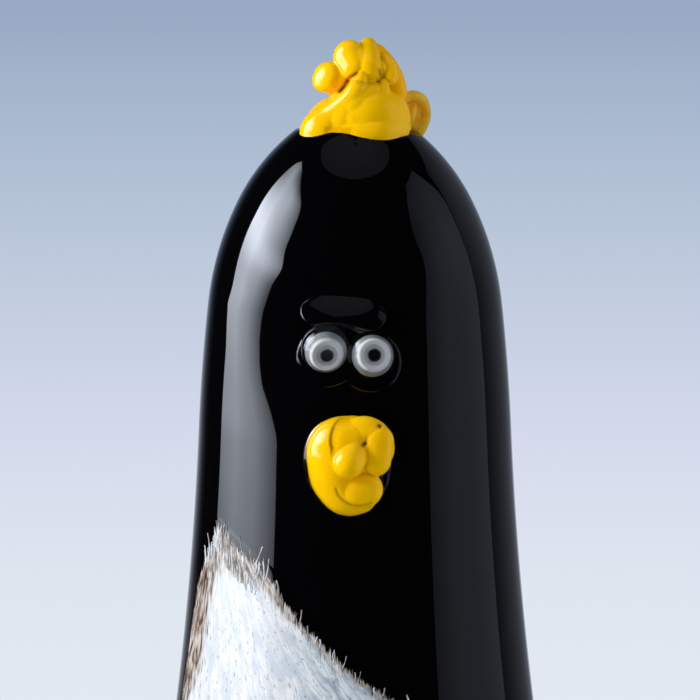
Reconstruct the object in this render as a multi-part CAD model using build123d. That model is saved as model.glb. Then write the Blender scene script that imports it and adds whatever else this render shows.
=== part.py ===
"""Hand-worked glass penguin figurine: a tall rounded body with a pale belly, and eyes, beak and crest of applied glass.

Units are millimetres. The origin is the centre of the ground base, +Z is up and the face looks along -Y.
Left and right are a viewer's, facing the figurine: left is -X. Hot glass is built up bit on bit, so nothing turns or
slides: each bit takes the shape of what it was laid on, and meets it face to face.
"""

from build123d import *
import os
from itertools import pairwise
from math import asin, cos, degrees, radians, sin

# Body: black glass blown to a bell with a long dome, ground flat below and pressed flat on top for the crest
BASE_RADIUS = 31.0
BASE_BEVEL = 0.7
HIP_RADIUS = 40.3
HIP_LEVEL = 55.0
NECK_RADIUS = 32.9
NECK_LEVEL = 131.0
NECK_LEAN = 2.5
SHOULDER_RADIUS = 30.9
SHOULDER_LEVEL = 157.0
CROWN_RADIUS = 24.6
CROWN_LEVEL = 178.5
TOP_RADIUS = 12.3
TOP_LEVEL = 193.5

# Belly: pale frit melted into the front of the body, its top edge running aslant
FRIT_DEPTH = 0.8
BELLY_TOP = 113.0
BELLY_WAIST = 45.0
BELLY_BOTTOM = 7.0
# Round the patch from its top: degrees from the front, share of the way from its bottom to its top
BELLY_TURN_SHARES = (
    (-55, 1.0), (-70, 0.9), (-77, 0.65), (-76, 0.35), (-55, 0.1), (0, 0.0),
    (55, 0.1), (75, 0.33), (70, 0.55), (45, 0.64), (12, 0.72), (-20, 0.85),
)

# Eyes: two murrine slices on a black pad, each under a drop of clear glass
EYE_LEVEL = 149.1
EYE_TURN = -2.2
BROW_RADIUS = 8.2
BROW_RISE = 3.2
BROW_LIFT = 3.2
BROW_SHIFT = -1.3
LOBE_RADIUS = 5.2
LOBE_RISE = 3.4
LOBE_DROP = 3.7
EYE_SPACING = 9.0
EYE_STEP = 1.2
LENS_RADIUS = 5.3
LENS_CENTRE_RISE = 3.0
WHITE_BACK_RADIUS = 4.3
WHITE_FRONT_RADIUS = 3.5
WHITE_LENGTH = 2.9
WHITE_SEAT_RISE = 2.4
IRIS_RADIUS = 2.3
IRIS_DEPTH = 0.7
PUPIL_RADIUS = 1.25
PUPIL_DEPTH = 1.4
# How far each slice leans from straight out, in degrees: sideways and upwards
LEFT_LEAN = (14, -22)
RIGHT_LEAN = (13, 4)

# Beak: yellow glass folded over itself, on a clear foot
BEAK_LEVEL = 126.0
BEAK_TURN = -2.0
BEAK_RADIUS = 8.9
BEAK_FOOT_MARGIN = 0.4
BEAK_FOOT_DEPTH = 1.2
BEAK_FOOT_TAPER = 12
# Bits of the beak, in shares of its radius: across, up and out from the body, and each ball's own radius
UPPER_FOLD_SHARES = (0.28, 0.52, 0.17, 0.66)
SIDE_FOLD_SHARES = (0.64, 0.28, 0.31, 0.44)
LOWER_FOLD_SHARES = (0.2, -0.41, 0.22, 0.51)
BEAK_BEAD_SHARES = (-0.01, 0.16, 0.79, 0.36)
# Ends of its base fold, in the same shares: across and up, and the radius and rise of the cap that shows there
BEAK_CENTRE_SHARES = (0.0, 0.1, 1.0, 0.52)
BEAK_TIP_SHARES = (0.03, -0.76, 0.48, 0.38)

# Crest: a trail of yellow glass dropped on the top of the head in folds and beads
CREST_REACH = 10.0
CREST_FOOT_DEPTH = 0.7
CREST_FOOT_TAPER = 10
# Bits of the crest, in shares of its reach: right, back and up from the top of the body, and each ball's own radius
FRONT_FOLD_SHARES = (0.22, -0.38, 0.11, 1.0)
BACK_FOLD_SHARES = (0.32, 0.02, 0.92, 0.72)
TOE_FOLD_SHARES = (-0.33, -0.61, 0.14, 0.73)
RIDGE_SHARES = ((-0.74, -0.74, 0.12, 0.44), (-0.06, -0.8, 1.06, 0.16))
SIDE_BEAD_SHARES = (-0.57, -0.34, 1.07, 0.32)
MIDDLE_BEAD_SHARES = (-0.19, -0.27, 1.49, 0.32)
OVERHANG_SHARES = ((0.17, -0.6, 1.25, 0.26), (0.43, -0.56, 1.28, 0.26))
KNOB_SHARES = (0.28, -0.07, 1.69, 0.22)
PETAL_SHARES = ((0.56, -0.3, 1.51, 0.2), (0.86, -0.44, 0.81, 0.24))
# Its clear foot, in the same shares: right, back and radius
FOOT_SHARES = (-0.06, -0.22, 1.08)
# The curled end of the trail, in the same shares: its place, and the radius, thickness, edge and dish of its disc
CURL_SHARES = (1.26, 0.36, 0.37)
CURL_DISC_SHARES = (0.45, 0.24, 0.09, 0.06)
CURL_TURN = 30

# Bits pressed into the hot body sink this deep in it: on the face, and round the top of the head
SEAT_DEPTH = 2.2
CREST_SEAT_DEPTH = 3.4
# Cuts run this far past what they cut
OVERRUN = 5.0
# Shares of an arc between which a level is searched for
SEARCH_STEP_SHARE = 1e-9


def arcs_through(points, heading):
    """Arcs from point to point, each leaving the way that the one before it arrived."""
    arcs = []
    for start, end in pairwise((radius, 0, level) for radius, level in points):
        arc = TangentArc(start, end, tangent=heading)
        heading = arc % 1
        arcs.append(arc)
    return arcs


def side_arcs():
    """The body's side: arcs that run smoothly into each other, down from the neck and up from it."""
    lean = radians(NECK_LEAN)
    neck = (NECK_RADIUS, NECK_LEVEL)
    hip = (HIP_RADIUS, HIP_LEVEL)
    foot = (BASE_RADIUS, BASE_BEVEL)
    shoulder = (SHOULDER_RADIUS, SHOULDER_LEVEL)
    crown = (CROWN_RADIUS, CROWN_LEVEL)
    top = (TOP_RADIUS, TOP_LEVEL)
    below = arcs_through([neck, hip, foot], (sin(lean), 0, -cos(lean)))
    above = arcs_through([neck, shoulder, crown, top], (-sin(lean), 0, cos(lean)))
    return below, above


BELOW, ABOVE = side_arcs()


def spot_on_side(level):
    """Where the side is at a level, and the way it runs there, upwards."""
    arc = next(
        arc for arc in BELOW + ABOVE if min((arc @ 0).Z, (arc @ 1).Z) <= level <= max((arc @ 0).Z, (arc @ 1).Z)
    )
    rising = (arc @ 1).Z > (arc @ 0).Z
    low, high = 0.0, 1.0
    while high - low > SEARCH_STEP_SHARE:
        middle = (low + high) / 2
        if ((arc @ middle).Z < level) == rising:
            low = middle
        else:
            high = middle
    return arc @ low, arc % low if rising else -(arc % low)


def seat(turn, level):
    """Plane on the body's skin: X across it, Y up it and Z straight out. turn is degrees from the front, to the right."""
    spot, up = spot_on_side(level)
    angle = radians(turn)
    outward = Vector(sin(angle), -cos(angle), 0)
    across = Vector(cos(angle), sin(angle), 0)
    return Plane(
        origin=outward * spot.X + Vector(0, 0, spot.Z),
        x_dir=across,
        z_dir=outward * up.Z - Vector(0, 0, up.X),
    )


def ball(x, y, z, radius):
    """A ball of glass round a place."""
    return Pos(x, y, z) * Sphere(radius)


def sunk(x, y, radius, rise):
    """Centre and radius of the ball that shows a cap this wide and this tall over a plane."""
    ball_radius = (radius**2 + rise**2) / 2 / rise
    return x, y, rise - ball_radius, ball_radius


def drop(low_ball, high_ball):
    """A drop of glass: a ball at each end and the cone that touches both between them."""
    *start, start_radius = low_ball
    *end, end_radius = high_ball
    axis = Vector(*end) - Vector(*start)
    length = axis.length
    lean = degrees(asin((start_radius - end_radius) / length))
    low = CenterArc((0, 0), start_radius, -90, 90 + lean)
    high = CenterArc((0, length), end_radius, lean, 90 - lean)
    outline = Plane.XZ * (low + Line(low @ 1, high @ 0) + high + Line(high @ 1, low @ 0))
    return Plane(origin=Vector(*start), z_dir=axis) * revolve(make_face(outline), Axis.Z)


def sized(shares, size):
    """Lengths given in shares of a size."""
    return tuple(share * size for share in shares)


def flattened(bit, depth):
    """The bit, cut flat this deep under the plane that it sits on."""
    return split(bit, bisect_by=Plane.XY.offset(-depth))


def without(bit, *others):
    """The bit, cut to the shape of what it was laid on: its largest solid, without crumbs cut loose."""
    for other in others:
        bit = bit - other
    return max(bit.solids(), key=lambda solid: solid.volume)


def make_body():
    """Black body of revolution, and the frit patch melted into its front."""
    base = Polyline((BASE_RADIUS, 0, BASE_BEVEL), (BASE_RADIUS - BASE_BEVEL, 0, 0), (0, 0, 0), (0, 0, TOP_LEVEL))
    lid = Line((0, 0, TOP_LEVEL), (TOP_RADIUS, 0, TOP_LEVEL))
    whole = revolve(make_face(BELOW + ABOVE + [base, lid]), Axis.Z)

    levels = (BELLY_BOTTOM - OVERRUN, BELLY_WAIST, BELLY_TOP + OVERRUN)
    under = [(spot_on_side(level)[0].X - FRIT_DEPTH, 0, level) for level in levels]
    core = Polyline((0, 0, levels[0]), *under, (0, 0, levels[-1]), close=True)
    under_frit = revolve(make_face(core), Axis.Z)
    edge = []
    for turn, share in BELLY_TURN_SHARES:
        spot = seat(turn, BELLY_BOTTOM + share * (BELLY_TOP - BELLY_BOTTOM)).origin
        edge.append((spot.X, 0, spot.Z))
    patch = make_face(Spline(edge, periodic=True))
    column = extrude(patch, HIP_RADIUS + OVERRUN, dir=(0, -1, 0))
    frit = without((whole & column) - under_frit)
    return without(whole, frit), frit


def make_eye(side, lean, place, pad):
    """One eye on the pad: an opaque white ring, a grey iris and a black pupil under a clear drop."""
    across, up = lean
    face = place * Pos(0, 0, WHITE_SEAT_RISE) * Rot(-up, across, 0)
    profile = Polyline(
        (0, 0, 0), (WHITE_BACK_RADIUS, 0, 0), (WHITE_FRONT_RADIUS, 0, WHITE_LENGTH), (0, 0, WHITE_LENGTH), close=True
    )
    slice_of_cane = revolve(make_face(profile), Axis.Z)
    front = Pos(0, 0, WHITE_LENGTH)
    pupil = front * Cylinder(PUPIL_RADIUS, PUPIL_DEPTH, align=(Align.CENTER, Align.CENTER, Align.MAX))
    iris = front * Cylinder(IRIS_RADIUS, IRIS_DEPTH, align=(Align.CENTER, Align.CENTER, Align.MAX)) - pupil
    lens = place * ball(0, 0, LENS_CENTRE_RISE, LENS_RADIUS)
    return {
        f"{side}_eye_white": without(face * (slice_of_cane - iris - pupil), pad),
        f"{side}_eye_iris": without(face * iris, pad),
        f"{side}_eye_pupil": without(face * pupil, pad),
        f"{side}_eye_lens": without(lens, pad, face * slice_of_cane),
    }


def make_eyes():
    """The black pad on the face, with its brow and a lobe below each eye, and the two eyes on it."""
    face = seat(EYE_TURN, EYE_LEVEL)
    pad = ball(*sunk(BROW_SHIFT, BROW_LIFT, BROW_RADIUS, BROW_RISE))
    spots = []
    for sign in (-1, 1):
        spots.append(Pos(sign * EYE_SPACING / 2, sign * -EYE_STEP / 2, 0))
        pad += spots[-1] * ball(*sunk(0, -LOBE_DROP, LOBE_RADIUS, LOBE_RISE))
    pad = without(face * flattened(pad, SEAT_DEPTH))
    nodes = {"brow_pad": pad}
    nodes |= make_eye("left", LEFT_LEAN, face * spots[0], pad)
    nodes |= make_eye("right", RIGHT_LEAN, face * spots[1], pad)
    nodes["right_eye_lens"] = without(nodes["right_eye_lens"], nodes["left_eye_lens"], nodes["left_eye_white"])
    nodes["left_eye_lens"] = without(nodes["left_eye_lens"], nodes["right_eye_white"])
    return nodes


def make_beak():
    """The beak's clear foot and its folds, each laid on the ones before it."""
    face = seat(BEAK_TURN, BEAK_LEVEL)
    top = Pos(0, 0, BEAK_FOOT_DEPTH)
    ends = [sized(shares, BEAK_RADIUS) for shares in (BEAK_CENTRE_SHARES, BEAK_TIP_SHARES)]
    rims = [Pos(x, y, 0) * Circle(radius + BEAK_FOOT_MARGIN) for x, y, radius, rise in ends]
    outline = make_hull(rims[0].edges() + rims[1].edges())
    foot = extrude(outline, -BEAK_FOOT_DEPTH - SEAT_DEPTH, taper=-BEAK_FOOT_TAPER)
    nodes = {"beak_clear_foot": face * top * foot}
    base = drop(*(sunk(*end) for end in ends))
    nodes["beak_base_fold"] = without(face * top * flattened(base, 0))
    bits = {
        "beak_upper_fold": UPPER_FOLD_SHARES,
        "beak_side_fold": SIDE_FOLD_SHARES,
        "beak_lower_fold": LOWER_FOLD_SHARES,
        "beak_bead": BEAK_BEAD_SHARES,
    }
    for name, shares in bits.items():
        bit = flattened(ball(*sized(shares, BEAK_RADIUS)), SEAT_DEPTH)
        nodes[name] = without(face * bit, *nodes.values())
    return nodes


def make_curl():
    """The curled end of the crest's trail: a round-edged disc, dished on its front."""
    radius, thickness, edge, dish = sized(CURL_DISC_SHARES, CREST_REACH)
    disc = Cylinder(radius, thickness)
    disc = fillet(disc.edges().filter_by(GeomType.CIRCLE), edge)
    disc -= Pos(0, 0, -thickness / 2) * ball(*sunk(0, 0, radius / 2, dish))
    return Pos(*sized(CURL_SHARES, CREST_REACH)) * Rot(0, 0, CURL_TURN) * Rot(-90, 0, 0) * disc


def make_crest():
    """The crest's clear foot, its folds and its beads, each laid on the ones before it."""
    top = Pos(0, 0, TOP_LEVEL)

    def bead(shares):
        return ball(*sized(shares, CREST_REACH))

    def trail(shares):
        return drop(*(sized(end, CREST_REACH) for end in shares))

    x, y, foot_radius = sized(FOOT_SHARES, CREST_REACH)
    disc = Pos(x, y, CREST_FOOT_DEPTH) * Circle(foot_radius)
    foot = extrude(disc, -CREST_FOOT_DEPTH - CREST_SEAT_DEPTH, taper=-CREST_FOOT_TAPER)
    nodes = {"crest_clear_foot": top * foot}
    bits = {
        "crest_base_fold": bead(FRONT_FOLD_SHARES) + bead(BACK_FOLD_SHARES) + bead(TOE_FOLD_SHARES),
        "crest_ridge": trail(RIDGE_SHARES),
        "crest_side_bead": bead(SIDE_BEAD_SHARES),
        "crest_overhang": trail(OVERHANG_SHARES),
        "crest_middle_bead": bead(MIDDLE_BEAD_SHARES),
        "crest_knob": bead(KNOB_SHARES),
        "crest_petal": trail(PETAL_SHARES),
        "crest_curl": make_curl(),
    }
    for name, bit in bits.items():
        nodes[name] = without(top * flattened(bit, CREST_SEAT_DEPTH), *nodes.values())
    return nodes


def main():
    body, frit = make_body()
    nodes = make_eyes() | make_beak() | make_crest()
    nodes["black_body"] = without(body, *nodes.values())
    nodes["belly_frit"] = frit
    os.makedirs("parts", exist_ok=True)
    for name, solid in nodes.items():
        export_step(solid, f"parts/{name}.step")


main()
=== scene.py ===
"""Hand-worked glass penguin figurine: glossy black body, pale frit on its belly, bullseye eyes,
and a beak and a crest of folded yellow glass."""

from math import atan2, cos, pi, radians, sin, sqrt

import bmesh
import bpy
import numpy as np
from mathutils import Matrix, Vector


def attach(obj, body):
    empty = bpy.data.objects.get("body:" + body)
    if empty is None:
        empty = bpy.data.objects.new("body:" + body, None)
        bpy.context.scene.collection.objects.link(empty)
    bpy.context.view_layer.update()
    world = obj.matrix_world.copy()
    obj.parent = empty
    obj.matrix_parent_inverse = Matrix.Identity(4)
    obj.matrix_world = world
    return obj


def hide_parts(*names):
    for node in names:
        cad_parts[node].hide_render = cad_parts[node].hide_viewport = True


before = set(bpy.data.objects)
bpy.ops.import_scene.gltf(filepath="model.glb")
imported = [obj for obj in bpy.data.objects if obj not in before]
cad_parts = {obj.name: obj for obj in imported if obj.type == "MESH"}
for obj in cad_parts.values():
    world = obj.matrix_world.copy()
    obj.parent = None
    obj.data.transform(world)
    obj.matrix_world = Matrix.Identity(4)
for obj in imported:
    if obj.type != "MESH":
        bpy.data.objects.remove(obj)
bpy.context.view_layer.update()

MM = 0.001

# Body, in millimetres: radius and level of the points that its smooth arcs run through
NECK = (32.9, 131.0)
BELOW_NECK = ((40.3, 55.0), (31.0, 0.7))
ABOVE_NECK = ((30.9, 157.0), (24.6, 178.5), (12.3, 193.5))
# Lean of its side at the neck, in degrees, wider downwards
NECK_LEAN = 2.5
BASE_BEVEL = 0.7
TOP_LEVEL = 193.5
# How far the dressed skin lies inside the solid's
SKIN_INSET = 0.05
# How finely it is made: steps round it, millimetres along its side, and the fewest steps of an arc
BODY_TURNS = 288
ARC_STEP = 1.0
LEAST_ARC_STEPS = 8

# Edge of the white frit: degrees to the right of the front, and level
FRIT_EDGE = (
    (-56, 112), (-45, 108.5), (-31, 103.5), (-22, 97), (-15, 93), (-8, 88.8), (-1, 84.8), (8, 80.5),
    (20, 76.5), (35, 72.5), (50, 69.5), (65, 65), (74, 56), (76, 44), (68, 26), (48, 14), (20, 9.5),
    (0, 8.5), (-25, 10), (-55, 17.5), (-72, 32), (-77, 50), (-76, 66), (-75, 78), (-73, 84), (-72, 92),
    (-68, 101), (-61, 107.5),
)
# Radius that the belly is laid out flat at, and the point there that the combing fans out from
SKIN_RADIUS = 36.0
FRIT_FOCUS = (-36.0, 128.0)
# Millimetres along the strands' fan for each radian of it
FAN_WIDTH = 60
# The sheet that carries the frit: reach past the edge, width and depth of its sunken rim, height over the
# body's skin, and thickness
FRIT_REACH = 5.0
FRIT_RIM = 4.0
FRIT_SINK = 0.12
FRIT_PROUD = 0.02
FRIT_THICKNESS = 0.8
# The grid that it is cut from: spacing, degrees to either side, and lowest and highest level
FRIT_GRID = 0.6
FRIT_HALF_TURN = 98
FRIT_LEVELS = (2.0, 122.0)
# Along its edge, in millimetres: where the white starts, how wide it fades in, and how far tufts reach;
# each everywhere, what the left side adds and what the apex adds
EDGE_LOOK = ((0.7, 8.0, 2.2), (1.4, 2.7, 5.2), (0.8, 1.9, 1.0))
# The left side: place across and softness, and the levels that it comes in over. The apex: level and softness
LEFT_SIDE = (-36.5, 1.5)
LEFT_SIDE_LEVELS = (70, 86)
APEX = (101.5, 1.8)


def srgb(code):
    """Linear colour of an sRGB hex value."""
    parts = [int(code[i : i + 2], 16) / 255 for i in (1, 3, 5)]
    return tuple(p / 12.92 if p <= 0.04045 else ((p + 0.055) / 1.055) ** 2.4 for p in parts) + (1.0,)


def nodes_in(tree):
    """Clears a node tree and returns the function that adds a node to it."""
    tree.nodes.clear()

    def put(kind, inputs=None, stops=(), **settings):
        """Adds a node. Settings are its own, stops are a ramp's places and colours, and inputs are values,
        sockets or nodes, whose first output is meant."""
        made = tree.nodes.new(kind)
        for name, value in settings.items():
            setattr(made, name, value)
        for _ in stops[2:]:
            made.color_ramp.elements.new(0.5)
        for place, (spot, colour) in enumerate(stops):
            made.color_ramp.elements[place].position = spot
            made.color_ramp.elements[place].color = srgb(colour)
        for key, value in (inputs or {}).items():
            if isinstance(value, bpy.types.Node):
                value = next(socket for socket in value.outputs if socket.enabled)
            if isinstance(value, bpy.types.NodeSocket):
                tree.links.new(value, made.inputs[key])
            else:
                made.inputs[key].default_value = value
        return made

    return put


def add_object(name, data):
    made = bpy.data.objects.new(name, data)
    bpy.context.collection.objects.link(made)
    return made


# shapes


def tangent_arc(start, heading, end, step):
    """Points of the arc that leaves start along heading and arrives at end, and the heading there."""
    chord = (end[0] - start[0], end[1] - start[1])
    over = heading[0] * chord[1] - heading[1] * chord[0]
    ahead = heading[0] * chord[0] + heading[1] * chord[1]
    turn = 2 * atan2(over, ahead)
    normal = (-heading[1], heading[0])
    bend = 2 * (chord[0] * normal[0] + chord[1] * normal[1]) / (chord[0] ** 2 + chord[1] ** 2)
    centre = (start[0] + normal[0] / bend, start[1] + normal[1] / bend)
    count = max(LEAST_ARC_STEPS, round(abs(turn / bend) / step))
    points = []
    for i in range(1, count + 1):
        c, s = cos(turn * i / count), sin(turn * i / count)
        x, y = start[0] - centre[0], start[1] - centre[1]
        points.append((centre[0] + c * x - s * y, centre[1] + s * x + c * y))
    c, s = cos(turn), sin(turn)
    return points, (c * heading[0] - s * heading[1], s * heading[0] + c * heading[1])


def body_side():
    """Radius and level down the body's side, from its base bevel up to its flat top."""
    lean = radians(NECK_LEAN)
    sides = []
    down, up = (sin(lean), -cos(lean)), (-sin(lean), cos(lean))
    for heading, stops in ((down, BELOW_NECK), (up, ABOVE_NECK)):
        spot = NECK
        run = []
        for stop in stops:
            points, heading = tangent_arc(spot, heading, stop, ARC_STEP)
            run += points
            spot = stop
        sides.append(run)
    return np.array(sides[0][::-1] + [NECK] + sides[1]) - (SKIN_INSET, 0)


SIDE = body_side()


def radius_at(level):
    """Radius of the body's skin at a level, or at each of several."""
    return np.interp(level, SIDE[:, 1], SIDE[:, 0])


def seat(turn, level):
    """Matrix of the plane on the body's skin: X across, Y up and Z straight out, in millimetres."""
    rise = radius_at(level + 0.5) - radius_at(level - 0.5)
    up_out, up_z = rise / sqrt(1 + rise**2), 1 / sqrt(1 + rise**2)
    angle = radians(turn)
    out = Vector((sin(angle), -cos(angle), 0))
    across = Vector((cos(angle), sin(angle), 0))
    up = out * up_out + Vector((0, 0, up_z))
    normal = across.cross(up)
    spot = out * float(radius_at(level)) + Vector((0, 0, level))
    made = Matrix.Identity(4)
    for i, axis in enumerate((across, up, normal, spot)):
        for j in range(3):
            made[j][i] = axis[j]
    return made


def mesh_object(name, verts, faces):
    """A smooth mesh object from points in millimetres, with its normals outward."""
    mesh = bpy.data.meshes.new(name)
    places = [tuple(float(c) * MM for c in v) for v in verts]
    mesh.from_pydata(places, [], [tuple(int(i) for i in f) for f in faces])
    bm = bmesh.new()
    bm.from_mesh(mesh)
    bmesh.ops.remove_doubles(bm, verts=bm.verts, dist=1e-7)
    bmesh.ops.recalc_face_normals(bm, faces=bm.faces)
    bm.to_mesh(mesh)
    bm.free()
    mesh.polygons.foreach_set("use_smooth", [True] * len(mesh.polygons))
    return add_object(name, mesh)


def between_rings(count, turns):
    """Faces between closed rings of points that follow each other."""
    faces = []
    for i in range(count - 1):
        for k in range(turns):
            n = (k + 1) % turns
            faces.append((i * turns + k, i * turns + n, (i + 1) * turns + n, (i + 1) * turns + k))
    return faces


def turned(name, profile, matrix, turns=96):
    """A closed body of revolution about Z, from radius and height pairs that start and end on the axis."""
    inner = profile[1:-1]
    verts = []
    for radius, height in inner:
        for k in range(turns):
            a = 2 * pi * k / turns
            verts.append(matrix @ Vector((radius * cos(a), radius * sin(a), height)))
    faces = between_rings(len(inner), turns)
    for row, height in ((0, profile[0][1]), (len(inner) - 1, profile[-1][1])):
        pole = len(verts)
        verts.append(matrix @ Vector((0, 0, height)))
        faces += [(row * turns + k, row * turns + (k + 1) % turns, pole) for k in range(turns)]
    return mesh_object(name, verts, faces)


def spline(points, step):
    """Points of a smooth curve through the given ones, a step apart, with all their numbers blended."""
    p = np.array(points, float)
    if len(p) == 1:
        return p
    ends = np.vstack((2 * p[0] - p[1], p, 2 * p[-1] - p[-2]))
    out = []
    for i in range(len(p) - 1):
        a, b, c, d = ends[i : i + 4]
        count = max(2, int(np.linalg.norm((c - b)[:3]) / step))
        t = np.linspace(0, 1, count, endpoint=i == len(p) - 2)[:, None]
        square, cube = 2 * a - 5 * b + 4 * c - d, 3 * b - a - 3 * c + d
        out.append(0.5 * (2 * b + (c - a) * t + square * t**2 + cube * t**3))
    return np.vstack(out)


# Spacing of the balls along a trail, in millimetres
TRAIL_STEP = 0.35


def melted(name, trails, matrix, voxel, smoothing):
    """Trails of hot glass melted into one skin of cells of voxel millimetres, smoothed in so many rounds. A
    trail is what it is pressed flat by, None or a direction and the share of its thickness that is left, and
    points of x, y, z and radius, in millimetres."""
    ball = bmesh.new()
    bmesh.ops.create_icosphere(ball, subdivisions=4, radius=1)
    unit = np.array([v.co for v in ball.verts])
    tris = np.array([[v.index for v in f.verts] for f in ball.faces])
    ball.free()
    verts, faces = [], []
    for press, trail in trails:
        shape = unit
        if press:
            way = np.array(press[:3]) / np.linalg.norm(press[:3])
            shape = unit - np.outer(unit @ way * (1 - press[3]), way)
        for x, y, z, radius in spline(trail, TRAIL_STEP):
            faces.append(tris + len(verts) * len(unit))
            verts.append(shape * radius + (x, y, z))
    turn = np.array(matrix)
    points = np.vstack(verts) @ turn[:3, :3].T + turn[:3, 3]
    made = mesh_object(name, points, np.vstack(faces))
    remesh = made.modifiers.new("melt", "REMESH")
    remesh.mode = "VOXEL"
    remesh.voxel_size = voxel * MM
    remesh.use_smooth_shade = True
    relax = made.modifiers.new("relax", "SMOOTH")
    relax.iterations = smoothing
    relax.factor = 0.5
    return settled(made)


def settled(made):
    """Applies what modifiers a piece has, through its evaluated mesh."""
    bpy.context.view_layer.update()
    graph = bpy.context.evaluated_depsgraph_get()
    mesh = bpy.data.meshes.new_from_object(made.evaluated_get(graph))
    made.modifiers.clear()
    made.data = mesh
    mesh.polygons.foreach_set("use_smooth", [True] * len(mesh.polygons))
    return made


def points_of(made):
    """Its points as an array, in millimetres."""
    flat = np.empty(len(made.data.vertices) * 3)
    made.data.vertices.foreach_get("co", flat)
    return flat.reshape(-1, 3) / MM


def move_points(made, points):
    made.data.vertices.foreach_set("co", (points * MM).ravel())
    made.data.update()


def normals_of(made):
    """Its points' normals as an array."""
    flat = np.empty(len(made.data.vertices) * 3, np.float32)
    made.data.vertex_normals.foreach_get("vector", flat)
    return flat.reshape(-1, 3).astype(float)


def store(made, name, values):
    """Stores a number or a vector per point for the material."""
    values = np.asarray(values, np.float32)
    kind, key = ("FLOAT", "value") if values.ndim == 1 else ("FLOAT_VECTOR", "vector")
    made.data.attributes.new(name, kind, "POINT").data.foreach_set(key, values.ravel())


def distance_to(line, points):
    """Distance from each point of the plane to a line through the given ones."""
    best = np.full(len(points), 1e9)
    for a, b in zip(line[:-1], line[1:]):
        run = b - a
        share = np.clip(((points - a) @ run) / max(run @ run, 1e-9), 0, 1)
        best = np.minimum(best, np.linalg.norm(points - a - share[:, None] * run, axis=1))
    return best


def inside_of(line, points):
    """Distance from each point of the plane to a closed line, negative outside it."""
    crossings = np.zeros(len(points), int)
    for a, b in zip(line[:-1], line[1:]):
        spans = (a[1] > points[:, 1]) != (b[1] > points[:, 1])
        rise = b[1] - a[1] if b[1] != a[1] else 1e-9
        crossings += spans & (points[:, 0] < a[0] + (points[:, 1] - a[1]) * (b[0] - a[0]) / rise)
    away = distance_to(line, points)
    return np.where(crossings % 2 == 1, away, -away)


def neighbour_mean(values, ends):
    """Mean of a number or a vector over the neighbours of each point, from both ends of each edge."""
    total = np.zeros_like(values)
    for a, b in ((0, 1), (1, 0)):
        np.add.at(total, ends[:, a], values[ends[:, b]])
    return (total.T / np.bincount(ends.ravel(), minlength=len(values))).T


# How deep a fold looks, for the shade painted into it: rounds that its depth is evened out in, and a factor
HOLLOW_ROUNDS = 3
HOLLOW_GAIN = 4


def hollow_of(made):
    """How deep each point lies in a fold: 0 on open skin, towards 1 in a tight crease."""
    mesh = made.data
    points = points_of(made)
    ends = np.empty(len(mesh.edges) * 2, int)
    mesh.edges.foreach_get("vertices", ends)
    ends = ends.reshape(-1, 2)
    lift = ((neighbour_mean(points, ends) - points) * normals_of(made)).sum(1)
    for _ in range(HOLLOW_ROUNDS):
        lift = (lift + neighbour_mean(lift, ends)) / 2
    length = np.linalg.norm(points[ends[:, 0]] - points[ends[:, 1]], axis=1).mean()
    return np.clip(lift / length * HOLLOW_GAIN, 0, 1)


def dress(made, material, replaced):
    """Finishes a piece: gives it its material, hangs it from the root and hides the nodes that it stands for.
    """
    made.data.materials.clear()
    made.data.materials.append(material)
    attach(made, "root")
    if replaced:
        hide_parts(*replaced)
    return made


# materials


# Index of refraction of soda-lime glass, soft glass and frit, and of clear casing glass
GLASS_IOR = 1.52
CLEAR_IOR = 1.5


def new_material(name):
    made = bpy.data.materials.new(name)
    made.use_nodes = True
    return made, nodes_in(made.node_tree)


def lamps_through(put, shader, shadow):
    """The shader, with lamps let through it, tinted with the colour shadow."""
    clear = put("ShaderNodeBsdfTransparent", {"Color": shadow})
    path = put("ShaderNodeLightPath")
    return put("ShaderNodeMixShader", {0: path.outputs["Is Shadow Ray"], 1: shader, 2: clear})


def hand_worked(put, coords, depth_mm):
    """Bump of hot-worked glass: waves some 15 mm long, so shallow that they show only in reflections."""
    waves = put("ShaderNodeTexNoise", {"Vector": coords, "Scale": 1 / (15 * MM), "Detail": 1.0})
    bump = {"Height": waves.outputs["Fac"], "Distance": depth_mm * MM, "Strength": 1.0}
    return put("ShaderNodeBump", bump)


def black_glass():
    """Black glass, fire-polished: so dark that it shows only what it mirrors, with very shallow waves."""
    made, put = new_material("fire-polished black glass")
    coords = put("ShaderNodeTexCoord").outputs["Object"]
    specks = put("ShaderNodeTexNoise", {"Vector": coords, "Scale": 1 / (6 * MM), "Detail": 3.0})
    tint = put("ShaderNodeMix", {0: specks, 6: srgb("#020203"), 7: srgb("#040406")}, data_type="RGBA")
    waves = hand_worked(put, coords, 0.03)
    glass = {"Base Color": tint, "Roughness": 0.025, "IOR": GLASS_IOR, "Normal": waves}
    put("ShaderNodeOutputMaterial", {"Surface": put("ShaderNodeBsdfPrincipled", glass)})
    return made


def streaks(put, place, width_mm, length_mm, detail=2.0, shift=0.0):
    """Noise drawn out lengthways, as strands of frit are when the hot glass is combed."""
    lie = {"Vector": place, "Scale": (1 / width_mm, 1 / length_mm, 1.0), "Location": (shift, shift, 0)}
    scaled = put("ShaderNodeMapping", lie)
    noise = {"Vector": scaled, "Scale": 1.0, "Detail": detail, "Roughness": 0.6}
    return put("ShaderNodeTexNoise", noise, noise_dimensions="2D").outputs["Fac"]


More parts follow.
